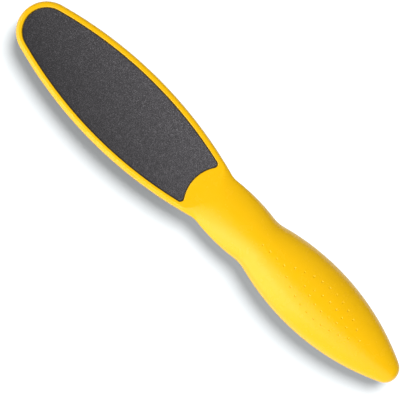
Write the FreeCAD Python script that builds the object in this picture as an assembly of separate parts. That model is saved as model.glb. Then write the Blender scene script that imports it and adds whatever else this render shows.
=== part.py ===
import FreeCAD, Part
import math
import os
from collections import namedtuple

# A double-sided foot file: two moulded half shells, welded on a flat parting plane, with an abrasive
# sheet glued into a shallow recess on each side of the head. All lengths are in millimetres. +X points
# at the tip of the head and +Z out of the coarse side. The origin is the middle of the file, on the
# parting plane.

Vector = FreeCAD.Vector
Arc = namedtuple("Arc", "centre radius bulge")

# Plan outline, from the tip of the head to the tail of the handle
tip_to_head_widest = 61.0
head_widest_to_shoulder = 66.5
shoulder_to_belly = 46.5
belly_to_tail = 51.0
head_width = 39.5
shoulder_width = 26.1
belly_width = 32.9
tip_radius = 13.3
tail_radius = 6.4
shoulder_side_radius = 85.0
neck_fillet_radius = 9.0
waist_fillet_radius = 16.0

# Side profile
head_thickness = 7.2
handle_thickness = 18.6
tail_to_thickest = 55.0
tail_edge_radius = 3.6
neck_rise_share = 0.3

# Cross-section: a flat head with rounded edges that turns into a rounded handle over the neck
rim_edge_radius = 1.6
head_end_to_neck = 5.0
crown_blend_length = 9.0
neck_blend_length = 20.0
parting_chamfer = 0.25
handle_crown_share = 0.05
handle_band_share = 0.09
chamfer_limit_share = 0.4
tail_flat_depth = 0.1
handle_section_count = 46
neck_section_shares = (0.16, 0.32, 0.48, 0.72)
tail_section_count = 8

# Recess in the head, and the abrasive sheet that lies in it
rim_width = 2.7
rim_inner_radius = 0.3
recess_depth = 1.4
recess_to_head_end = 1.9
tongue_radius = 17.0
recess_corner_radius = 1.7
sheet_gap = 0.45
adhesive_gap = 0.1
adhesive_thickness = 0.15
backing_thickness = 0.7
grit_thickness = 0.35

# Hollow of the handle
wall_thickness = 2.3
neck_to_hollow = 2.2
hollow_to_tail = 9.0
hollow_section_count = 20
hollow_crown_share = 0.3
rib_thickness = 1.6
rib_place_shares = (0.3, 0.72)

# Locating pins on the rear half, and their sockets in the front half
pin_radius = 1.6
pin_height = 3.0
pin_lead = 0.4
pin_root = 0.8
boss_wall = 1.7
handle_pin_place_shares = (0.12, 0.52, 0.88)
head_pin_height = 1.2
head_pin_place_shares = (0.22, 0.8)
socket_clearance = 0.1
socket_end_gap = 0.2

# Grip dimples on the handle: a row on the axis that opens into two nested almond rows
dimple_diameter = 1.05
dimple_depth = 0.25
dimple_pitch = 4.15
dimples_to_belly = 30.4
stem_dimple_count = 3
outer_almond_steps = 11
outer_almond_half_width = 7.2
inner_almond_delay = 3
inner_almond_steps = 6
inner_almond_half_width = 2.7
almond_fullness_share = 0.8

# Every cut runs this far past the face that it opens
overrun = 1.0

# How closely edges are matched when solids are joined
joining_tolerance = 0.001

# Stations along the file and heights above the parting plane
overall_length = tip_to_head_widest + head_widest_to_shoulder + shoulder_to_belly + belly_to_tail
tip_x = overall_length / 2
tail_x = -overall_length / 2
tail_cap_x = tail_x - tail_flat_depth
head_widest_x = tip_x - tip_to_head_widest
shoulder_x = head_widest_x - head_widest_to_shoulder
belly_x = shoulder_x - shoulder_to_belly
thickest_x = tail_x + tail_to_thickest
head_top = head_thickness / 2
handle_top = handle_thickness / 2
recess_floor = head_top - recess_depth


def along(start, target, distance):
    """The point at a distance from a start on the line through a target."""
    direction = target - start
    direction.normalize()
    return start + direction * distance


def side_arc_radius(half_size, run, cap_radius):
    """Radius of an arc that crests at half_size and runs into an end cap on the axis, tangent to it."""
    return (half_size ** 2 + run ** 2 - 2 * cap_radius * run) / (2 * (half_size - cap_radius))


def outer_meeting(first, first_radius, second, second_radius):
    """The meeting point of two circles that lies further out from the axis."""
    span = second - first
    distance = span.Length
    foot = (first_radius ** 2 - second_radius ** 2 + distance ** 2) / (2 * distance)
    height = math.sqrt(first_radius ** 2 - foot ** 2)
    middle = along(first, second, foot)
    across = Vector(-span.y, span.x, 0) * (height / distance)
    return max((middle + across, middle - across), key=lambda point: point.y)


def crest_arc(x, half_size, radius):
    """A convex side arc whose crest is half_size out from the axis."""
    return Arc(Vector(x, half_size - radius, 0), radius, 1)


def hollow_fillet(first, second, radius):
    """A concave arc that joins two convex side arcs."""
    centre = outer_meeting(first.centre, first.radius + radius, second.centre, second.radius + radius)
    return Arc(centre, radius, -1)


def touch_point(first, second):
    """Where two tangent arcs touch: side by side if one is concave, otherwise one inside the other."""
    if first.bulge != second.bulge:
        return along(first.centre, second.centre, first.radius)
    large, small = sorted((first, second), key=lambda arc: -arc.radius)
    return along(large.centre, small.centre, large.radius)


def arc_height(arc, x):
    """Distance of an arc from the axis at one station."""
    return arc.centre.y + arc.bulge * math.sqrt(max(arc.radius ** 2 - (x - arc.centre.x) ** 2, 0))


def profile_height(arcs, x):
    """Height of a chain of tangent arcs, given from the tip to the tail, at one station."""
    for arc, following in zip(arcs, arcs[1:]):
        if x >= touch_point(arc, following).x:
            return arc_height(arc, x)
    return arc_height(arcs[-1], x)


# Arcs of the plan outline on the +Y side
tip_arc = Arc(Vector(tip_x - tip_radius, 0, 0), tip_radius, 1)
head_side_radius = side_arc_radius(head_width / 2, tip_to_head_widest, tip_radius)
head_arc = crest_arc(head_widest_x, head_width / 2, head_side_radius)
shoulder_arc = crest_arc(shoulder_x, shoulder_width / 2, shoulder_side_radius)
belly_side_radius = side_arc_radius(belly_width / 2, belly_x - tail_cap_x, tail_radius)
belly_arc = crest_arc(belly_x, belly_width / 2, belly_side_radius)
tail_arc = Arc(Vector(tail_cap_x + tail_radius, 0, 0), tail_radius, 1)
neck_arc = hollow_fillet(head_arc, shoulder_arc, neck_fillet_radius)
waist_arc = hollow_fillet(shoulder_arc, belly_arc, waist_fillet_radius)
plan_arcs = (tip_arc, head_arc, neck_arc, shoulder_arc, waist_arc, belly_arc, tail_arc)

# Arcs of the side profile, with height in place of Y: a rise from the flat head and a swell to the tail
head_end_x = touch_point(head_arc, neck_arc).x + head_end_to_neck
swell_height = handle_top - head_top
swell_run = head_end_x - thickest_x
swell_radii = (swell_run ** 2 + swell_height ** 2) / (2 * swell_height)
neck_rise_radius = swell_radii * neck_rise_share
neck_rise_arc = Arc(Vector(head_end_x, head_top + neck_rise_radius, 0), neck_rise_radius, -1)
front_swell_arc = crest_arc(thickest_x, handle_top, swell_radii - neck_rise_radius)
rear_swell_radius = side_arc_radius(handle_top, thickest_x - tail_cap_x, tail_edge_radius)
rear_swell_arc = crest_arc(thickest_x, handle_top, rear_swell_radius)
tail_edge_arc = Arc(Vector(tail_cap_x + tail_edge_radius, 0, 0), tail_edge_radius, 1)

# Ends of the hollow in the handle
hollow_start_x = head_end_x - neck_blend_length - neck_to_hollow
hollow_end_x = tail_x + hollow_to_tail


def half_width(x):
    """Half of the file's width at one station."""
    return profile_height(plan_arcs, x)


def half_thickness(x):
    """Half of the file's thickness on the axis at one station, behind the rounded edge of the tip."""
    if x >= head_end_x:
        return head_top
    if x >= thickest_x:
        return profile_height((neck_rise_arc, front_swell_arc), x)
    return profile_height((rear_swell_arc, tail_edge_arc), x)


def blend(start, end, share):
    """A value between two others."""
    return start + (end - start) * share


def handle_share(x, blend_length):
    """0 where the section is the flat head's, and 1 a blend length behind it, where it is the handle's."""
    share = min(max((head_end_x - x) / blend_length, 0), 1)
    return share * share * (3 - 2 * share)


def head_half_width(x, inset):
    """Half of the head's width at one station, measured to a line that runs an inset inside its side."""
    return arc_height(Arc(head_arc.centre, head_arc.radius - inset, 1), x)


def crown_half_width(x):
    """Half of the flat strip on top of the section."""
    share = handle_share(x, crown_blend_length)
    return blend(head_half_width(x, rim_edge_radius), handle_crown_share * half_width(x), share)


def band_height(x):
    """Height of the upright band beside the parting plane."""
    share = handle_share(x, neck_blend_length)
    return blend(head_top - rim_edge_radius, handle_band_share * half_thickness(x), share)


def chamfer_size(x):
    """Size of the small bevel that marks the parting line."""
    return min(parting_chamfer, chamfer_limit_share * band_height(x))


def foot_half_width(x):
    """Half of the section's width on the parting plane, inside the bevel."""
    chamfer = chamfer_size(x)
    share = handle_share(x, neck_blend_length)
    return blend(head_half_width(x, chamfer), half_width(x) - chamfer, share)


def surface_point(x, y):
    """The point of the handle's surface above a place in the plan."""
    crown = crown_half_width(x)
    band = band_height(x)
    reach = max(abs(y) - crown, 0) / (half_width(x) - crown)
    return Vector(x, y, band + (half_thickness(x) - band) * math.sqrt(1 - reach ** 2))


def surface_normal(x, y, step):
    """The outward direction of the handle's surface above a place in the plan."""
    lengthwise = surface_point(x + step, y) - surface_point(x - step, y)
    crosswise = surface_point(x, y + step) - surface_point(x, y - step)
    return lengthwise.cross(crosswise).normalize()


def line(start, end):
    """A straight edge."""
    return Part.LineSegment(start, end).toShape()


def arc_edge(arc, start, end):
    """The shorter edge on an arc between two of its points."""
    middle = along(arc.centre, start + end - arc.centre, arc.radius)
    return Part.Arc(start, middle, end).toShape()


def closed_wire(edges):
    """One closed wire from edges in any order."""
    return Part.Wire(Part.__sortEdges__(edges))


def mirrored(point):
    """The same point on the other side of the axis."""
    return Vector(point.x, -point.y, point.z)


def paired_arc_edges(arc, start, end):
    """An arc's edge and its copy on the other side of the axis."""
    copy = Arc(mirrored(arc.centre), arc.radius, arc.bulge)
    return [arc_edge(arc, start, end), arc_edge(copy, mirrored(start), mirrored(end))]


def quarter_ellipse(centre, out_point, top_point):
    """A rounded shoulder of a section, from its outer side up to its crown."""
    long_end, short_end = out_point, top_point
    if (out_point - centre).Length < (top_point - centre).Length:
        long_end, short_end = top_point, out_point
    curve = Part.Ellipse(long_end, short_end, centre)
    first, last = sorted((curve.parameter(out_point), curve.parameter(top_point)))
    if last - first > math.pi:
        first, last = last, first + 2 * math.pi
    return curve.toShape(first, last)


def handle_section(x):
    """Outline of the upper half of the handle at one station."""
    width = half_width(x)
    top = half_thickness(x)
    crown = crown_half_width(x)
    band = band_height(x)
    foot_width = foot_half_width(x)
    edges = [
        line(Vector(x, -foot_width, 0), Vector(x, foot_width, 0)),
        line(Vector(x, -crown, top), Vector(x, crown, top)),
    ]
    for side in (-1, 1):
        foot = Vector(x, side * foot_width, 0)
        bevel_top = Vector(x, side * width, chamfer_size(x))
        band_top = Vector(x, side * width, band)
        crown_edge = Vector(x, side * crown, top)
        edges.append(line(foot, bevel_top))
        edges.append(line(bevel_top, band_top))
        edges.append(quarter_ellipse(Vector(x, side * crown, band), band_top, crown_edge))
    return closed_wire(edges)


def handle_stations():
    """Stations of the handle's sections, closer together at the head and where the tail rounds off."""
    cap_start = touch_point(belly_arc, tail_arc).x
    run = head_end_x - cap_start
    steps = (0, *neck_section_shares, *range(1, handle_section_count + 1))
    stations = [head_end_x - run * step / handle_section_count for step in steps]
    cap_run = cap_start - tail_x
    for step in range(1, tail_section_count + 1):
        turn = math.pi / 2 * step / tail_section_count
        stations.append(cap_start - cap_run * math.sin(turn))
    return stations


def handle_half():
    """Solid upper half of the neck and handle."""
    sections = [handle_section(x) for x in handle_stations()]
    return Part.makeLoft(sections, True, False)


def recess_outline(inset):
    """Outline of the recess, or of a sheet that lies an inset inside it."""
    side = Arc(head_arc.centre, head_arc.radius - rim_width - inset, 1)
    cap = Arc(tip_arc.centre, tip_radius - rim_width - inset, 1)
    corner_x = head_end_x + recess_to_head_end + recess_corner_radius
    corner_side = Arc(head_arc.centre, head_arc.radius - rim_width - recess_corner_radius, 1)
    corner_y = arc_height(corner_side, corner_x)
    corner = Arc(Vector(corner_x, corner_y, 0), recess_corner_radius - inset, 1)
    tongue_reach = math.sqrt((tongue_radius + recess_corner_radius) ** 2 - corner_y ** 2)
    tongue = Arc(Vector(corner_x - tongue_reach, 0, 0), tongue_radius + inset, -1)
    cap_end = touch_point(side, cap)
    corner_start = touch_point(side, corner)
    corner_end = touch_point(tongue, corner)
    edges = [arc_edge(cap, cap_end, mirrored(cap_end)), arc_edge(tongue, corner_end, mirrored(corner_end))]
    edges += paired_arc_edges(side, cap_end, corner_start)
    edges += paired_arc_edges(corner, corner_start, corner_end)
    return closed_wire(edges)


def recess_slab(inset, bottom, thickness):
    """A flat slab with the recess's outline, an inset inside it."""
    face = Part.Face(recess_outline(inset))
    face.translate(Vector(0, 0, bottom))
    return face.extrude(Vector(0, 0, thickness))


def head_plate():
    """Solid upper half of the flat head, with square edges."""
    cap_end = touch_point(head_arc, tip_arc)
    neck_end = Vector(head_end_x, half_width(head_end_x), 0)
    edges = [arc_edge(tip_arc, cap_end, mirrored(cap_end)), line(neck_end, mirrored(neck_end))]
    edges += paired_arc_edges(head_arc, neck_end, cap_end)
    return Part.Face(closed_wire(edges)).extrude(Vector(0, 0, head_top))


def round_edges_at(solid, height):
    """The edges of a solid that lie level at a height and are arcs."""
    found = []
    for edge in solid.Edges:
        level = all(abs(vertex.Z - height) < joining_tolerance for vertex in edge.Vertexes)
        if level and isinstance(edge.Curve, Part.Circle):
            found.append(edge)
    return found


def head_half():
    """Upper half of the head: rounded rim, bevelled parting edge, and the recess with a softened edge."""
    plate = head_plate()
    plate = plate.makeFillet(rim_edge_radius, round_edges_at(plate, head_top))
    plate = plate.makeChamfer(chamfer_size(head_end_x), round_edges_at(plate, 0))
    rim_edges = round_edges_at(plate, head_top)
    plate = plate.cut(recess_slab(0, recess_floor, recess_depth + overrun))
    recess_edges = [edge for edge in round_edges_at(plate, head_top) if not is_listed(edge, rim_edges)]
    return plate.makeFillet(rim_inner_radius, recess_edges)


def is_listed(edge, edges):
    """Whether an edge has the same middle as one in a list."""
    return any((edge.CenterOfMass - other.CenterOfMass).Length < joining_tolerance for other in edges)


def hollow_section(x):
    """Outline of the upper half of the handle's hollow at one station."""
    width = half_width(x) - wall_thickness
    top = half_thickness(x) - wall_thickness
    crown = hollow_crown_share * width
    edges = [
        line(Vector(x, -width, -overrun), Vector(x, width, -overrun)),
        line(Vector(x, -crown, top), Vector(x, crown, top)),
    ]
    for side in (-1, 1):
        edge_point = Vector(x, side * width, 0)
        crown_edge = Vector(x, side * crown, top)
        edges.append(line(Vector(x, side * width, -overrun), edge_point))
        edges.append(quarter_ellipse(Vector(x, side * crown, 0), edge_point, crown_edge))
    return closed_wire(edges)


def hollow_place(share):
    """The station at a share of the hollow's length."""
    return blend(hollow_start_x, hollow_end_x, share)


def rib(share):
    """A cross rib that is left standing in the hollow."""
    middle = Vector(hollow_place(share) - rib_thickness / 2, -belly_width / 2, -overrun)
    return Part.makeBox(rib_thickness, belly_width, handle_top + overrun, middle)


def handle_pin_places():
    """Where the handle's pins stand on the parting plane."""
    return [Vector(hollow_place(share), 0, 0) for share in handle_pin_place_shares]


def head_pin_places():
    """Where the head's pins stand on the parting plane."""
    return [Vector(blend(tip_x, head_end_x, share), 0, 0) for share in head_pin_place_shares]


def boss(place):
    """A round boss that is left standing in the hollow to carry a pin or a socket."""
    radius = pin_radius + socket_clearance + boss_wall
    return Part.makeCylinder(radius, handle_top + overrun, place - Vector(0, 0, overrun))


def hollow():
    """The space to cut out of one half of the handle, with its ribs and bosses left standing."""
    sections = [hollow_section(hollow_place(step / hollow_section_count)) for step in
                range(hollow_section_count + 1)]
    space = Part.makeLoft(sections, True, False)
    kept = [rib(share) for share in rib_place_shares]
    kept += [boss(place) for place in handle_pin_places()]
    return space.cut(kept)


def almond_places(start_x, steps, half_width_of_row):
    """Places of dimples on an almond-shaped row that starts and ends on the axis."""
    places = []
    for step in range(steps + 1):
        x = start_x - step * dimple_pitch
        swing = math.sin(math.pi * step / steps)
        if step in (0, steps):
            places.append((x, 0))
            continue
        y = half_width_of_row * swing ** almond_fullness_share
        places += [(x, y), (x, -y)]
    return places


def dimple_places():
    """Places of all grip dimples on one side of the handle."""
    first_x = belly_x + dimples_to_belly
    places = [(first_x - step * dimple_pitch, 0) for step in range(stem_dimple_count)]
    outer_x = first_x - stem_dimple_count * dimple_pitch
    places += almond_places(outer_x, outer_almond_steps, outer_almond_half_width)
    inner_x = outer_x - inner_almond_delay * dimple_pitch
    places += almond_places(inner_x, inner_almond_steps, inner_almond_half_width)
    return places


def dimple(x, y):
    """A ball that sinks one dimple into the handle's surface."""
    radius = ((dimple_diameter / 2) ** 2 + dimple_depth ** 2) / (2 * dimple_depth)
    normal = surface_normal(x, y, dimple_depth)
    return Part.makeSphere(radius, surface_point(x, y) + normal * (radius - dimple_depth), Vector(0, 1, 0))


def shell_half():
    """One moulded half without its pins or sockets, above the parting plane."""
    body = head_half().fuse(handle_half(), joining_tolerance).removeSplitter()
    body = body.cut(hollow())
    return body.cut([dimple(x, y) for x, y in dimple_places()])


def turned_over(shape):
    """A copy of a shape, turned half round about the file's axis."""
    copy = shape.copy()
    copy.rotate(Vector(0, 0, 0), Vector(1, 0, 0), 180)
    return copy


def socket(place, height):
    """The cut for a socket that takes a pin of a height."""
    depth = height + socket_end_gap
    return Part.makeCylinder(pin_radius + socket_clearance, depth + overrun, place - Vector(0, 0, overrun))


def pin(place, height):
    """A locating pin with a bevelled end, rooted in the half below the parting plane."""
    shape = Part.makeCylinder(pin_radius, height + pin_root, place - Vector(0, 0, pin_root))
    return shape.makeChamfer(pin_lead, round_edges_at(shape, height))


def front_shell(half):
    """The moulded half on the coarse side, with sockets."""
    sockets = [socket(place, pin_height) for place in handle_pin_places()]
    sockets += [socket(place, head_pin_height) for place in head_pin_places()]
    return half.cut(sockets)


def rear_shell(half):
    """The moulded half on the fine side, with pins."""
    pins = [pin(place, pin_height) for place in handle_pin_places()]
    pins += [pin(place, head_pin_height) for place in head_pin_places()]
    return turned_over(half).fuse(pins)


def sheet_layers(name):
    """The film, backing and grit of one abrasive sheet, stacked up from the recess floor."""
    backing_floor = recess_floor + adhesive_thickness
    grit_floor = backing_floor + backing_thickness
    return {
        name + "_adhesive": recess_slab(adhesive_gap, recess_floor, adhesive_thickness),
        name + "_backing": recess_slab(sheet_gap, backing_floor, backing_thickness),
        name + "_grit": recess_slab(sheet_gap, grit_floor, grit_thickness),
    }


def all_nodes():
    """Every piece of the file by name."""
    half = shell_half()
    nodes = {"front_shell": front_shell(half), "rear_shell": rear_shell(half)}
    nodes.update(sheet_layers("coarse"))
    nodes.update({name: turned_over(shape) for name, shape in sheet_layers("fine").items()})
    return nodes


def main():
    """Writes each piece to its own file."""
    os.makedirs("parts", exist_ok=True)
    for name, shape in all_nodes().items():
        print(name, "valid" if shape.isValid() else "broken", len(shape.Solids), round(shape.Volume, 2))
        shape.exportStep("parts/" + name + ".step")


main()
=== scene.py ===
"""Dresses the foot file: satin yellow shells, two bonded grit coats, and the stage it is shown on.

Every length is in metres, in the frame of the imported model: +X runs to the tip of the head, +Z points out of
the coarse side, and z = 0 is the parting plane between the two shells.
"""

import math

import bmesh
import bpy
from bpy.props import FloatProperty, FloatVectorProperty, IntProperty, PointerProperty
from mathutils import Matrix, Vector


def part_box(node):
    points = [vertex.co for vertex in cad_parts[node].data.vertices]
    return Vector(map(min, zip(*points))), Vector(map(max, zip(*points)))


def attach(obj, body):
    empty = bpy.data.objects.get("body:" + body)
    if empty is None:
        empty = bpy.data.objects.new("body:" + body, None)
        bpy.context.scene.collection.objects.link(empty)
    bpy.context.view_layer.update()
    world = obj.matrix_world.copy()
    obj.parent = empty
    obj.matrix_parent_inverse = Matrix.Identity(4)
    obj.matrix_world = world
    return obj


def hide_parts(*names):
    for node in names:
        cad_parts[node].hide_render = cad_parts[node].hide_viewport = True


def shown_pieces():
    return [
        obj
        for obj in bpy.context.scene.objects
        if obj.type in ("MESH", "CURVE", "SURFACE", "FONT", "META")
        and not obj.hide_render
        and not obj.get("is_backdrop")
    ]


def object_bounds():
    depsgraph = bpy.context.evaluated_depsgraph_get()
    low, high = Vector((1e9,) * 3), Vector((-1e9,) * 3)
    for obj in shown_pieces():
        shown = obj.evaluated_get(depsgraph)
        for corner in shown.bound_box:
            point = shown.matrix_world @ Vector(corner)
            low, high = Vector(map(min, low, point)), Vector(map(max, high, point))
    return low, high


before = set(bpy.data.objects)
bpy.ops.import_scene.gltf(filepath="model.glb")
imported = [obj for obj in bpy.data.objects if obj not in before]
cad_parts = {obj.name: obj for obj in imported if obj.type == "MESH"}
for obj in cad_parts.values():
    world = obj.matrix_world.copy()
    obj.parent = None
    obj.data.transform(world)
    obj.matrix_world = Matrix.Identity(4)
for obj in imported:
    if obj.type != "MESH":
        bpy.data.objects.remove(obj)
CAD_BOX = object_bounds()

bl_info = {
    "name": "Foot file dresser",
    "version": (1, 0, 0),
    "blender": (4, 5, 0),
    "location": "View3D > Sidebar > Foot file",
    "description": "Finishes the shells, abrasive sheets and stage of a two-sided foot file",
    "category": "Object",
}

BODY = "root"
LIT_SIDE = math.pi / 2.0
SHELLS = ("front_shell", "rear_shell")
BACKINGS = ("coarse_backing", "fine_backing")
ADHESIVES = ("coarse_adhesive", "fine_adhesive")
TONE = "grain_tone"
BAKE_MAP = "OFBake"

# A face is the outer one if its normal is at least this close to straight outward
OUTER_FACING = 0.9
# More points to a square metre than the spacing of the grains ever leaves room for
DENSEST = 1.0e8
# Corners of a grit node closer than this share of its thickness are one corner
MERGE_SHARE = 0.01


# Settings

class ShellSettings(bpy.types.PropertyGroup):
    """The moulded yellow plastic of the two shells."""

    colour: FloatVectorProperty(
        name="Yellow", description="Colour of the plastic", subtype="COLOR",
        size=4, min=0.0, max=1.0, default=(0.98, 0.552, 0.002, 1.0))
    drift_colour: FloatVectorProperty(
        name="Drifted yellow", description="Colour where the pigment is a little denser", subtype="COLOR",
        size=4, min=0.0, max=1.0, default=(0.965, 0.536, 0.001, 1.0))
    drift_length: FloatProperty(
        name="Drift length", description="Distance over which the colour drifts", unit="LENGTH",
        default=0.03)
    shine_length: FloatProperty(
        name="Shine length", description="Distance over which the shine varies", unit="LENGTH",
        default=0.00375)
    skin_pitch: FloatProperty(
        name="Skin pitch", description="Size of the grain of the spark-eroded skin", unit="LENGTH",
        default=0.00035)
    skin_depth: FloatProperty(
        name="Skin depth", description="Height of the grain of the skin", unit="LENGTH",
        default=0.000012)
    smoothest: FloatProperty(
        name="Smoothest", description="Least roughness of the skin", default=0.22)
    roughest: FloatProperty(
        name="Roughest", description="Greatest roughness of the skin", default=0.29)


class SheetSettings(bpy.types.PropertyGroup):
    """The backing sheets and the adhesive films under them."""

    backing_dark: FloatVectorProperty(
        name="Dark backing", description="Colour of the backing between its fibres", subtype="COLOR",
        size=4, min=0.0, max=1.0, default=(0.030, 0.027, 0.024, 1.0))
    backing_light: FloatVectorProperty(
        name="Light backing", description="Colour of the backing's fibres", subtype="COLOR",
        size=4, min=0.0, max=1.0, default=(0.075, 0.068, 0.060, 1.0))
    backing_roughness: FloatVectorProperty(
        name="Backing roughness", description="Least and greatest roughness of the backing", size=2,
        default=(0.75, 0.95))
    fibre_width: FloatProperty(
        name="Fibre width", description="Width of a fibre of the backing", unit="LENGTH", default=0.0004)
    fibre_stretch: FloatProperty(
        name="Fibre stretch", description="How many times its width a fibre is long", default=12.0)
    fibre_depth: FloatProperty(
        name="Fibre depth", description="Height of a fibre of the backing", unit="LENGTH", default=0.00004)
    # Painted shade: the adhesive is coloured near black so that the gap round each sheet looks shaded
    film_painted_shade_dark: FloatVectorProperty(
        name="Dark film", description="Colour of the adhesive where it holds most dust", subtype="COLOR",
        size=4, min=0.0, max=1.0, default=(0.030, 0.022, 0.014, 1.0))
    film_painted_shade_light: FloatVectorProperty(
        name="Light film", description="Colour of the adhesive where it holds least dust", subtype="COLOR",
        size=4, min=0.0, max=1.0, default=(0.075, 0.052, 0.030, 1.0))
    film_roughness: FloatVectorProperty(
        name="Film roughness", description="Least and greatest roughness of the adhesive", size=2,
        default=(0.25, 0.45))
    cloud_length: FloatProperty(
        name="Cloud length", description="Width of a cloudy patch in the adhesive", unit="LENGTH",
        default=0.004)


class GritSettings(bpy.types.PropertyGroup):
    """The grains bonded to the two sides of the head."""

    coarse_grain: FloatProperty(
        name="Coarse grain", description="Radius of a grain on the coarse side", unit="LENGTH",
        default=0.00021)
    coarse_spacing: FloatProperty(
        name="Coarse spacing", description="Least distance between coarse grains", unit="LENGTH",
        default=0.00029)
    fine_grain: FloatProperty(
        name="Fine grain", description="Radius of a grain on the fine side", unit="LENGTH",
        default=0.00015)
    fine_spacing: FloatProperty(
        name="Fine spacing", description="Least distance between fine grains", unit="LENGTH",
        default=0.00026)
    least_stretch: FloatProperty(
        name="Least stretch", description="Least stretch of a grain along each of its axes", default=0.7)
    greatest_stretch: FloatProperty(
        name="Greatest stretch", description="Greatest stretch of a grain along each of its axes",
        default=1.2)
    film_share: FloatProperty(
        name="Film share", description="Share of the coat's thickness that the resin film fills",
        subtype="FACTOR", default=0.6)
    seed: IntProperty(name="Seed", description="Fixes where the grains fall", default=7)
    dark: FloatVectorProperty(
        name="Resin", description="Colour of the resin and of the darkest grains", subtype="COLOR",
        size=4, min=0.0, max=1.0, default=(0.027, 0.0255, 0.0275, 1.0))
    light: FloatVectorProperty(
        name="Bright grain", description="Colour of the brightest grains", subtype="COLOR",
        size=4, min=0.0, max=1.0, default=(0.168, 0.161, 0.171, 1.0))
    darkest_tone: FloatProperty(
        name="Darkest tone", description="Tone of the darkest grains; the brightest have 1, the film 0",
        subtype="FACTOR", default=0.3)
    mottle: FloatProperty(
        name="Mottle", description="How much the tone varies within a grain", subtype="FACTOR", default=0.35)
    roughness: FloatVectorProperty(
        name="Roughness", description="Least and greatest roughness of the grit", size=2,
        default=(0.35, 0.6))
    # Painted sheen: these scale the grit's colour, darker at the tip and lighter towards one side of the neck,
    # in place of light
    tip_shading_tone: FloatProperty(
        name="Tip tone", description="Brightness of the grit at the tip of the head", default=0.76)
    neck_sheen_tone: FloatProperty(
        name="Neck tone", description="Brightness of the dusty grit at the neck", default=1.4)
    sheen_slant_share: FloatProperty(
        name="Dust slant", description="How much more dust lies on one side of the head than on the other",
        subtype="FACTOR", default=1.0)


class StageSettings(bpy.types.PropertyGroup):
    """The camera, the lamps and the floor."""

    image_side: FloatProperty(
        name="Image side", description="Side of the square picture, in pixels", default=400.0)
    tip_pixel: FloatVectorProperty(
        name="Tip pixel", description="Where the tip of the head shows, from the top left", size=2,
        default=(25.4, 11.0))
    tail_pixel: FloatVectorProperty(
        name="Tail pixel", description="Where the tail shows, from the top left", size=2,
        default=(394.9, 378.1))
    lens: FloatProperty(name="Lens", description="Focal length, in millimetres", default=125.0)
    lean: FloatProperty(
        name="Lean", description="How far the camera leans to the lit side", subtype="ANGLE",
        default=math.radians(4.0))
    floor_side: FloatProperty(
        name="Floor side", description="Side of the square floor", unit="LENGTH", default=12.0)
    floor_colour: FloatVectorProperty(
        name="Floor", description="Colour of the floor", subtype="COLOR", size=4, min=0.0, max=1.0,
        default=(0.865, 0.895, 0.905, 1.0))
    surround: FloatProperty(
        name="Surround", description="Strength of the light from all round", default=0.25)
    lamp_distance: FloatProperty(
        name="Lamp distance", description="From the file to the key and the sheen panel", unit="LENGTH",
        default=0.7)
    key_lean: FloatProperty(
        name="Key lean", description="How far the key stands from straight above, on the +Y side",
        subtype="ANGLE", default=math.radians(27.5))
    key_size: FloatVectorProperty(
        name="Key size", description="Length and width of the key", unit="LENGTH", size=2,
        default=(0.9, 0.5))
    key_brightness: FloatProperty(
        name="Key brightness", description="Radiance of the key", default=4.6)
    sheen_lean: FloatProperty(
        name="Sheen lean", description="How far the sheen panel stands from straight above", subtype="ANGLE",
        default=math.radians(58.0))
    sheen_turn: FloatProperty(
        name="Sheen turn", description="Bearing of the sheen panel, from +X towards +Y", subtype="ANGLE",
        default=math.radians(68.0))
    sheen_size: FloatVectorProperty(
        name="Sheen size", description="Length and width of the sheen panel", unit="LENGTH", size=2,
        default=(1.4, 1.15))
    sheen_shift: FloatProperty(
        name="Sheen shift", description="How far the sheen panel is moved to the +X side", unit="LENGTH",
        default=0.3)
    sheen_brightness: FloatProperty(
        name="Sheen brightness", description="Radiance of the sheen panel", default=1.65)
    floor_light_lean: FloatProperty(
        name="Floor light lean", description="How far the floor's light stands from straight above",
        subtype="ANGLE", default=math.radians(31.5))
    floor_light_spread: FloatProperty(
        name="Floor light spread", description="Angle that the floor's light takes up", subtype="ANGLE",
        default=math.radians(38.0))
    floor_light_level: FloatProperty(
        name="Floor light level", description="Level that the floor's light adds to a white floor",
        default=0.92)
    shade_level: FloatProperty(
        name="Shade level", description="Level that the light in the file's shade adds to a white floor",
        default=0.195)
    flag_reach: FloatVectorProperty(
        name="Flag reach", description="How far the dark flags stand off to the -Y side, to +Y and above",
        unit="LENGTH", size=3, default=(0.12, 0.08, 1.0))


SETTINGS = {
    "footfile_shell": ShellSettings,
    "footfile_sheets": SheetSettings,
    "footfile_grit": GritSettings,
    "footfile_stage": StageSettings,
}


# Materials

def add_node(tree, kind, inputs=None, **settings):
    """Adds a node with its settings and the values of its unlinked inputs."""
    node = tree.nodes.new(kind)
    for name, value in settings.items():
        setattr(node, name, value)
    for name, value in (inputs or {}).items():
        node.inputs[name].default_value = value
    return node


def shaded_material(name, inputs):
    """Returns a material, its node tree, its surface shader and the vector of the piece's own place."""
    material = bpy.data.materials.new(name)
    material.use_nodes = True
    tree = material.node_tree
    tree.nodes.clear()
    shader = add_node(tree, "ShaderNodeBsdfPrincipled", inputs)
    output = add_node(tree, "ShaderNodeOutputMaterial")
    place = add_node(tree, "ShaderNodeTexCoord")
    tree.links.new(shader.outputs["BSDF"], output.inputs["Surface"])
    return material, tree, shader, place.outputs["Object"]


def dull_material(name, colour):
    """A material of one dull colour, for the stage."""
    return shaded_material(name, {"Base Color": colour, "Roughness": 1.0, "Specular IOR Level": 0.0})[0]


def noise(tree, place, length, detail=2.0, stretch=(1.0, 1.0, 1.0)):
    """A noise whose blotches are about one length wide, drawn out along an axis where stretch is over 1."""
    mapping = add_node(tree, "ShaderNodeMapping")
    mapping.inputs["Scale"].default_value = [1.0 / (length * share) for share in stretch]
    pattern = add_node(tree, "ShaderNodeTexNoise", {"Scale": 1.0, "Detail": detail})
    tree.links.new(place, mapping.inputs["Vector"])
    tree.links.new(mapping.outputs["Vector"], pattern.inputs["Vector"])
    return pattern.outputs["Fac"]


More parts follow.
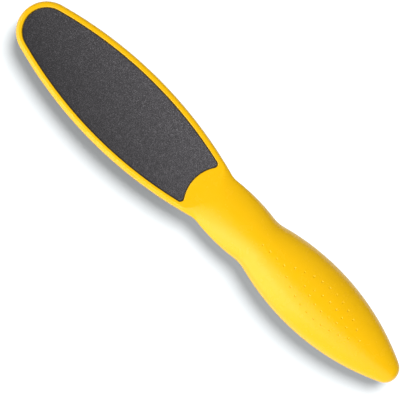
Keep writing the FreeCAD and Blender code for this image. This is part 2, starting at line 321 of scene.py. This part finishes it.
def ramp(tree, factor, low, high, start=0.3, end=0.7):
    """A colour that runs from low to high as the factor runs from start to end."""
    node = add_node(tree, "ShaderNodeValToRGB")
    first, last = node.color_ramp.elements
    first.position, first.color = start, low
    last.position, last.color = end, high
    tree.links.new(factor, node.inputs["Fac"])
    return node.outputs["Color"]


def spread(tree, factor, low, high, start=0.3, end=0.7, clamp=True):
    """A number that runs from low to high as the factor runs from start to end, and stops if clamped."""
    node = add_node(tree, "ShaderNodeMapRange", {
        "From Min": start, "From Max": end, "To Min": low, "To Max": high}, clamp=clamp)
    tree.links.new(factor, node.inputs["Value"])
    return node.outputs["Result"]


def bump(tree, height, depth):
    """A normal that follows a height of this depth."""
    node = add_node(tree, "ShaderNodeBump", {"Strength": 1.0, "Distance": depth})
    tree.links.new(height, node.inputs["Height"])
    return node.outputs["Normal"]


def satin_plastic(shell):
    """Moulded plastic with a fine eroded skin, a slow drift of pigment and an uneven shine."""
    material, tree, shader, place = shaded_material("satin_yellow_plastic", {
        "IOR": 1.5, "Specular IOR Level": 0.5})
    drift = noise(tree, place, shell.drift_length)
    shine = noise(tree, place, shell.shine_length, detail=3.0)
    skin = noise(tree, place, shell.skin_pitch, detail=3.0)
    tree.links.new(ramp(tree, drift, shell.colour, shell.drift_colour), shader.inputs["Base Color"])
    tree.links.new(spread(tree, shine, shell.smoothest, shell.roughest), shader.inputs["Roughness"])
    tree.links.new(bump(tree, skin, shell.skin_depth), shader.inputs["Normal"])
    return material


def bonded_grit(name, node, grit, grain):
    """Dull grains in a dark resin: each grain has its own tone, and a painted sheen darkens the coat at the
    tip and pales it towards the neck.
    """
    material, tree, shader, place = shaded_material(name, {"IOR": 1.6, "Specular IOR Level": 0.25})
    tone = add_node(tree, "ShaderNodeAttribute", attribute_name=TONE).outputs["Fac"]
    mottle = noise(tree, place, grain)
    mixed = add_node(tree, "ShaderNodeMath", operation="MULTIPLY_ADD")
    mixed.inputs[1].default_value = grit.mottle
    tree.links.new(mottle, mixed.inputs[0])
    tree.links.new(tone, mixed.inputs[2])
    colour = ramp(tree, mixed.outputs[0], grit.dark, grit.light, start=0.1, end=1.0)

    # Painted sheen: the grit's colour is scaled from darkest at the tip to lightest at one side of the neck
    low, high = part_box(node)
    length, width = (high - low).xy
    slant = add_node(tree, "ShaderNodeVectorMath", operation="DOT_PRODUCT")
    slant.inputs[1].default_value = (-1.0 / length, -grit.sheen_slant_share / width, 0.0)
    tree.links.new(place, slant.inputs[0])
    start = -high.x / length
    painted_shading = spread(tree, slant.outputs["Value"], grit.tip_shading_tone, grit.neck_sheen_tone,
                  start=start, end=start + 1.0, clamp=False)
    painted_sheen_colour = add_node(tree, "ShaderNodeVectorMath", operation="SCALE")
    tree.links.new(colour, painted_sheen_colour.inputs["Vector"])
    tree.links.new(painted_shading, painted_sheen_colour.inputs["Scale"])
    tree.links.new(painted_sheen_colour.outputs["Vector"], shader.inputs["Base Color"])
    tree.links.new(spread(tree, mottle, *grit.roughness), shader.inputs["Roughness"])
    return material


def backing_paper(sheets):
    """Heavy dark sheet with fibres along its length."""
    material, tree, shader, place = shaded_material("backing_paper", {"Specular IOR Level": 0.3})
    fibres = noise(tree, place, sheets.fibre_width, detail=4.0, stretch=(sheets.fibre_stretch, 1.0, 1.0))
    colour = ramp(tree, fibres, sheets.backing_dark, sheets.backing_light)
    tree.links.new(colour, shader.inputs["Base Color"])
    tree.links.new(spread(tree, fibres, *sheets.backing_roughness), shader.inputs["Roughness"])
    tree.links.new(bump(tree, fibres, sheets.fibre_depth), shader.inputs["Normal"])
    return material


def adhesive_film(sheets):
    """Tacky film painted near black as shade in the gap round the sheet; its colour varies in cloudy patches.
    """
    material, tree, shader, place = shaded_material("adhesive_film", {"IOR": 1.48})
    clouds = noise(tree, place, sheets.cloud_length, detail=3.0)
    colour = ramp(tree, clouds, sheets.film_painted_shade_dark, sheets.film_painted_shade_light)
    tree.links.new(colour, shader.inputs["Base Color"])
    tree.links.new(spread(tree, clouds, *sheets.film_roughness), shader.inputs["Roughness"])
    return material


# Pieces

def paint(nodes, material):
    """Puts one material in every slot of these nodes of the model."""
    for name in nodes:
        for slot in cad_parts[name].material_slots:
            slot.material = material


def resin_film(node, share, outward):
    """A copy of a grit node with its corners merged, lowered to a share of its thickness."""
    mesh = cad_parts[node].data.copy()
    low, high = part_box(node)
    work = bmesh.new()
    work.from_mesh(mesh)
    bmesh.ops.remove_doubles(work, verts=work.verts, dist=(high.z - low.z) * MERGE_SHARE)
    inner = low.z if outward > 0 else high.z
    for vert in work.verts:
        vert.co.z = inner + (vert.co.z - inner) * share
    work.to_mesh(mesh)
    work.free()
    mesh.materials.clear()
    return mesh


def grit_tree(grit):
    """Scatters sharp grains over the outer face of a film and joins them to it."""
    tree = bpy.data.node_groups.new("bonded_grit", "GeometryNodeTree")
    for name, kind in (("Film", "Geometry"), ("Grain Radius", "Float"), ("Spacing", "Float"),
                       ("Outward", "Vector"), ("Seed", "Int"), ("Material", "Material"),
                       ("Map Corner", "Vector"), ("Map Scale", "Vector")):
        tree.interface.new_socket(name, in_out="INPUT", socket_type="NodeSocket" + kind)
    tree.interface.new_socket("Coat", in_out="OUTPUT", socket_type="NodeSocketGeometry")
    link = tree.links.new
    given = add_node(tree, "NodeGroupInput").outputs
    result = add_node(tree, "NodeGroupOutput").inputs

    # The outer face is where the normal points outward
    normal = add_node(tree, "GeometryNodeInputNormal")
    facing = add_node(tree, "ShaderNodeVectorMath", operation="DOT_PRODUCT")
    link(normal.outputs["Normal"], facing.inputs[0])
    link(given["Outward"], facing.inputs[1])
    outer = add_node(tree, "FunctionNodeCompare", {"B": OUTER_FACING},
                     data_type="FLOAT", operation="GREATER_THAN")
    link(facing.outputs["Value"], outer.inputs["A"])

    # Grains keep their distance from each other
    scatter = add_node(tree, "GeometryNodeDistributePointsOnFaces", {"Density Max": DENSEST},
                       distribute_method="POISSON")
    link(given["Film"], scatter.inputs["Mesh"])
    link(outer.outputs["Result"], scatter.inputs["Selection"])
    link(given["Spacing"], scatter.inputs["Distance Min"])
    link(given["Seed"], scatter.inputs["Seed"])

    # Two three-sided points base to base, turned and stretched at random
    grain = add_node(tree, "GeometryNodeMeshUVSphere", {"Segments": 3, "Rings": 2})
    link(given["Grain Radius"], grain.inputs["Radius"])
    flat = add_node(tree, "GeometryNodeSetShadeSmooth", {"Shade Smooth": False})
    link(grain.outputs["Mesh"], flat.inputs["Geometry"])
    turn = add_node(tree, "FunctionNodeRandomValue", data_type="FLOAT_VECTOR")
    turn.inputs["Max"].default_value = (math.tau, math.tau, math.tau)
    size = add_node(tree, "FunctionNodeRandomValue", data_type="FLOAT_VECTOR")
    size.inputs["Min"].default_value = [grit.least_stretch] * 3
    size.inputs["Max"].default_value = [grit.greatest_stretch] * 3
    rotation = add_node(tree, "FunctionNodeEulerToRotation")
    link(turn.outputs["Value"], rotation.inputs["Euler"])
    place = add_node(tree, "GeometryNodeInstanceOnPoints")
    link(scatter.outputs["Points"], place.inputs["Points"])
    link(flat.outputs["Geometry"], place.inputs["Instance"])
    link(rotation.outputs["Rotation"], place.inputs["Rotation"])
    link(size.outputs["Value"], place.inputs["Scale"])

    # Each grain has a tone of its own, and the film has none
    tone = add_node(tree, "FunctionNodeRandomValue", data_type="FLOAT")
    tone.inputs[2].default_value = grit.darkest_tone
    tone.inputs[3].default_value = 1.0
    toned = add_node(tree, "GeometryNodeStoreNamedAttribute", {"Name": TONE},
                     data_type="FLOAT", domain="INSTANCE")
    link(place.outputs["Instances"], toned.inputs["Geometry"])
    link(tone.outputs[1], toned.inputs["Value"])
    for random in (turn, size, tone):
        link(given["Seed"], random.inputs["Seed"])

    joined = add_node(tree, "GeometryNodeJoinGeometry")
    link(toned.outputs["Geometry"], joined.inputs["Geometry"])
    link(given["Film"], joined.inputs["Geometry"])
    real = add_node(tree, "GeometryNodeRealizeInstances")
    link(joined.outputs["Geometry"], real.inputs["Geometry"])

    # A flat map seen from above, with the grains in its lower half and the film in its upper half
    position = add_node(tree, "GeometryNodeInputPosition")
    away = add_node(tree, "ShaderNodeVectorMath", operation="SUBTRACT")
    scaled = add_node(tree, "ShaderNodeVectorMath", operation="MULTIPLY")
    link(position.outputs["Position"], away.inputs[0])
    link(given["Map Corner"], away.inputs[1])
    link(away.outputs["Vector"], scaled.inputs[0])
    link(given["Map Scale"], scaled.inputs[1])
    own = add_node(tree, "GeometryNodeInputNamedAttribute", {"Name": TONE}, data_type="FLOAT")
    film = add_node(tree, "FunctionNodeCompare", {"B": grit.darkest_tone / 2.0},
                    data_type="FLOAT", operation="LESS_THAN")
    link(own.outputs["Attribute"], film.inputs["A"])
    beside = add_node(tree, "ShaderNodeCombineXYZ")
    half = add_node(tree, "ShaderNodeMath", operation="MULTIPLY")
    half.inputs[1].default_value = 0.5
    link(film.outputs["Result"], half.inputs[0])
    link(half.outputs[0], beside.inputs["Y"])
    shifted = add_node(tree, "ShaderNodeVectorMath", operation="ADD")
    link(scaled.outputs["Vector"], shifted.inputs[0])
    link(beside.outputs["Vector"], shifted.inputs[1])
    mapped = add_node(tree, "GeometryNodeStoreNamedAttribute", {"Name": BAKE_MAP},
                      data_type="FLOAT2", domain="CORNER")
    link(real.outputs["Geometry"], mapped.inputs["Geometry"])
    link(shifted.outputs["Vector"], mapped.inputs["Value"])

    coated = add_node(tree, "GeometryNodeSetMaterial")
    link(mapped.outputs["Geometry"], coated.inputs["Geometry"])
    link(given["Material"], coated.inputs["Material"])
    link(coated.outputs["Geometry"], result["Coat"])
    return tree


def coat_with_grit(name, node, tree, values, outward, share):
    """Makes the coat that stands for a grit node: a resin film with grains bonded to its outer face."""
    low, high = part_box(node)
    piece = bpy.data.objects.new(name, resin_film(node, share, outward))
    bpy.context.scene.collection.objects.link(piece)
    values = dict(values)
    values["Outward"] = (0.0, 0.0, outward)
    values["Map Corner"] = low
    values["Map Scale"] = (1.0 / (high.x - low.x), 0.5 / (high.y - low.y), 0.0)
    modifier = piece.modifiers.new("grit", "NODES")
    modifier.node_group = tree
    for item in tree.interface.items_tree:
        if item.in_out == "INPUT" and item.name in values:
            modifier[item.identifier] = values[item.name]
    evaluated = piece.evaluated_get(bpy.context.evaluated_depsgraph_get())
    mesh = bpy.data.meshes.new_from_object(evaluated)
    piece.modifiers.clear()
    old = piece.data
    piece.data = mesh
    bpy.data.meshes.remove(old)
    mesh.name = name
    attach(piece, BODY)
    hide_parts(node)


# Stage

def sheet(name, corners, material):
    """A flat four-cornered sheet of the stage."""
    mesh = bpy.data.meshes.new(name)
    mesh.from_pydata(corners, [], [(0, 1, 2, 3)])
    mesh.materials.append(material)
    flat = bpy.data.objects.new(name, mesh)
    bpy.context.scene.collection.objects.link(flat)
    flat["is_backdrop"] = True
    return flat


def lay_floor(stage):
    """A wide white floor, level with the lowest point of the file."""
    half = stage.floor_side / 2.0
    low = CAD_BOX[0].z
    corners = [(-half, -half, low), (half, -half, low), (half, half, low), (-half, half, low)]
    return sheet("floor", corners, dull_material("white_floor", stage.floor_colour))


def bearing(lean, turn):
    """The direction that leans from straight above, on a bearing from +X towards +Y."""
    return Vector((math.sin(lean) * math.cos(turn), math.sin(lean) * math.sin(turn), math.cos(lean)))


def hang_lamp(data, direction, distance, receivers):
    """Hangs a lamp off the middle of the file, pointed back at it, to light these objects only."""
    lamp = bpy.data.objects.new(data.name, data)
    lamp.location = direction * distance
    lamp.rotation_euler = direction.to_track_quat("Z", "Y").to_euler()
    lamp.visible_camera = False
    bpy.context.scene.collection.objects.link(lamp)
    group = bpy.data.collections.new(data.name + "_receivers")
    for obj in receivers:
        group.objects.link(obj)
    lamp.light_linking.receiver_collection = group
    return lamp


def softbox(name, size, brightness):
    """A rectangular lamp of even brightness."""
    data = bpy.data.lights.new(name, "AREA")
    data.shape = "RECTANGLE"
    data.size, data.size_y = size
    data.energy = brightness * math.pi * data.size * data.size_y
    return data


def distant_light(name, level, lean, angle):
    """A far lamp that takes up this angle and brings a white floor to this level."""
    data = bpy.data.lights.new(name, "SUN")
    data.angle = angle
    data.energy = level * math.pi / math.cos(lean)
    return data


def hang_lamps(stage, floor):
    """Lights the file from its +Y side, and the floor from the other, so that it has a shadow on +Y."""
    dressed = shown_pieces()
    key = softbox("key_softbox", stage.key_size, stage.key_brightness)
    lamp = hang_lamp(key, bearing(stage.key_lean, LIT_SIDE), stage.lamp_distance, dressed)
    lamp.visible_glossy = False
    sheen = softbox("sheen_panel", stage.sheen_size, stage.sheen_brightness)
    panel = hang_lamp(sheen, bearing(stage.sheen_lean, stage.sheen_turn), stage.lamp_distance, dressed)
    panel.location.x += stage.sheen_shift
    panel.visible_diffuse = False
    sun = distant_light("floor_light", stage.floor_light_level, stage.floor_light_lean,
                        stage.floor_light_spread)
    hang_lamp(sun, bearing(stage.floor_light_lean, -LIT_SIDE), stage.lamp_distance, [floor])
    shade = distant_light("shade_light", stage.shade_level, 0.0, 0.0)
    shade.use_shadow = False
    hang_lamp(shade, bearing(0.0, 0.0), stage.lamp_distance, [floor])


def hang_flags(stage):
    """Dark flags above the file and on its -Y side, which only the shine on the plastic shows."""
    material = dull_material("black_flag", (0.0, 0.0, 0.0, 1.0))
    half = stage.floor_side / 2.0
    near, far, high = stage.flag_reach
    low = CAD_BOX[0].z
    flags = {
        "flag_above": [(-half, -near, high), (half, -near, high), (half, far, high), (-half, far, high)],
        "flag_beside": [(-half, -near, low), (half, -near, low), (half, -near, high), (-half, -near, high)],
    }
    for name, corners in flags.items():
        flag = sheet(name, corners, material)
        for ray in ("camera", "diffuse", "transmission", "volume_scatter", "shadow"):
            setattr(flag, "visible_" + ray, False)


def keep_floor_clean():
    """Keeps the yellow that the shells would throw on the floor out of their shadow."""
    for name in SHELLS:
        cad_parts[name].visible_diffuse = False


def white_surround(stage):
    """A world that fills the shadows softly, and that shows white behind the floor and in reflections."""
    world = bpy.data.worlds.new("white_surround")
    world.use_nodes = True
    tree = world.node_tree
    tree.nodes.clear()
    path = add_node(tree, "ShaderNodeLightPath")
    colour = (1.0, 1.0, 1.0, 1.0)
    fill = add_node(tree, "ShaderNodeBackground", {"Color": colour, "Strength": stage.surround})
    white = add_node(tree, "ShaderNodeBackground", {"Color": colour, "Strength": 1.0})
    shown = path.outputs["Is Camera Ray"]
    for ray in ("Is Glossy Ray", "Is Transmission Ray"):
        either = add_node(tree, "ShaderNodeMath", operation="MAXIMUM")
        tree.links.new(shown, either.inputs[0])
        tree.links.new(path.outputs[ray], either.inputs[1])
        shown = either.outputs[0]
    mix = add_node(tree, "ShaderNodeMixShader")
    output = add_node(tree, "ShaderNodeOutputWorld")
    tree.links.new(shown, mix.inputs["Fac"])
    tree.links.new(fill.outputs["Background"], mix.inputs[1])
    tree.links.new(white.outputs["Background"], mix.inputs[2])
    tree.links.new(mix.outputs["Shader"], output.inputs["Surface"])
    bpy.context.scene.world = world


def place_camera(stage):
    """Looks down on the coarse side so that the tip and the tail fall on their pixels of the picture."""
    low, high = CAD_BOX
    tip = Vector(stage.tip_pixel)
    tail = Vector(stage.tail_pixel)
    along = tip - tail
    pixel = (high.x - low.x) / along.length
    along.normalize()

    # The camera's back, and the file's length and width as the picture plane holds them
    back = Vector((0.0, math.sin(stage.lean), math.cos(stage.lean)))
    length = Vector((1.0, 0.0, 0.0))
    width = back.cross(length)
    right = length * along.x + width * along.y
    up = width * along.x - length * along.y

    centre = Vector((stage.image_side, stage.image_side)) / 2.0
    offset = ((tip + tail) / 2.0 - centre) * pixel
    middle = Vector(((low.x + high.x) / 2.0, 0.0, 0.0))
    target = middle - right * offset.x + up * offset.y
    data = bpy.data.cameras.new("camera")
    data.lens = stage.lens
    distance = stage.image_side * pixel * data.lens / data.sensor_width
    camera = bpy.data.objects.new("camera", data)
    turn = Matrix((right, up, back)).transposed().to_4x4()
    camera.matrix_world = Matrix.Translation(target + back * distance) @ turn
    bpy.context.scene.collection.objects.link(camera)
    bpy.context.scene.camera = camera


# Operators

class FOOTFILE_OT_finish_shells(bpy.types.Operator):
    """Give both moulded shells their satin yellow plastic"""

    bl_idname = "footfile.finish_shells"
    bl_label = "Finish the shells"

    def execute(self, context):
        paint(SHELLS, satin_plastic(context.scene.footfile_shell))
        return {"FINISHED"}


class FOOTFILE_OT_lay_sheets(bpy.types.Operator):
    """Finish the backing sheets and the adhesive that holds them in the recesses"""

    bl_idname = "footfile.lay_sheets"
    bl_label = "Lay the sheets"

    def execute(self, context):
        sheets = context.scene.footfile_sheets
        paint(BACKINGS, backing_paper(sheets))
        paint(ADHESIVES, adhesive_film(sheets))
        return {"FINISHED"}


class FOOTFILE_OT_bond_grit(bpy.types.Operator):
    """Bond coarse grains to the front of the head and fine ones to its back"""

    bl_idname = "footfile.bond_grit"
    bl_label = "Bond the grit"

    def execute(self, context):
        grit = context.scene.footfile_grit
        tree = grit_tree(grit)
        sides = (("coarse", grit.coarse_grain, grit.coarse_spacing, 1.0),
                 ("fine", grit.fine_grain, grit.fine_spacing, -1.0))
        for side, grain, spacing, outward in sides:
            material = bonded_grit(side + "_bonded_grit", side + "_grit", grit, grain)
            values = {"Grain Radius": grain, "Spacing": spacing, "Seed": grit.seed, "Material": material}
            coat_with_grit(side + "_grit_coat", side + "_grit", tree, values,
                           outward, grit.film_share)
        return {"FINISHED"}


class FOOTFILE_OT_set_stage(bpy.types.Operator):
    """Lay the floor, hang the lamps and place the camera"""

    bl_idname = "footfile.set_stage"
    bl_label = "Set the stage"

    def execute(self, context):
        stage = context.scene.footfile_stage
        floor = lay_floor(stage)
        hang_lamps(stage, floor)
        hang_flags(stage)
        keep_floor_clean()
        white_surround(stage)
        place_camera(stage)
        context.scene.view_settings.view_transform = "Standard"
        return {"FINISHED"}


OPERATORS = (
    FOOTFILE_OT_finish_shells,
    FOOTFILE_OT_lay_sheets,
    FOOTFILE_OT_bond_grit,
    FOOTFILE_OT_set_stage,
)


class FOOTFILE_PT_dresser(bpy.types.Panel):
    """Lists the steps that dress the foot file, with their settings"""

    bl_idname = "FOOTFILE_PT_dresser"
    bl_label = "Foot file"
    bl_space_type = "VIEW_3D"
    bl_region_type = "UI"
    bl_category = "Foot file"

    def draw(self, context):
        for step in OPERATORS:
            self.layout.operator(step.bl_idname)
        for settings, kind in SETTINGS.items():
            box = self.layout.box()
            for name in kind.__annotations__:
                box.prop(getattr(context.scene, settings), name)


def register():
    for name, kind in SETTINGS.items():
        bpy.utils.register_class(kind)
        setattr(bpy.types.Scene, name, PointerProperty(type=kind))
    for kind in (*OPERATORS, FOOTFILE_PT_dresser):
        bpy.utils.register_class(kind)


def unregister():
    for kind in (FOOTFILE_PT_dresser, *reversed(OPERATORS)):
        bpy.utils.unregister_class(kind)
    for name, kind in SETTINGS.items():
        delattr(bpy.types.Scene, name)
        bpy.utils.unregister_class(kind)


def main():
    register()
    bpy.ops.footfile.finish_shells()
    bpy.ops.footfile.lay_sheets()
    bpy.ops.footfile.bond_grit()
    bpy.ops.footfile.set_stage()


if __name__ == "__main__":
    main()
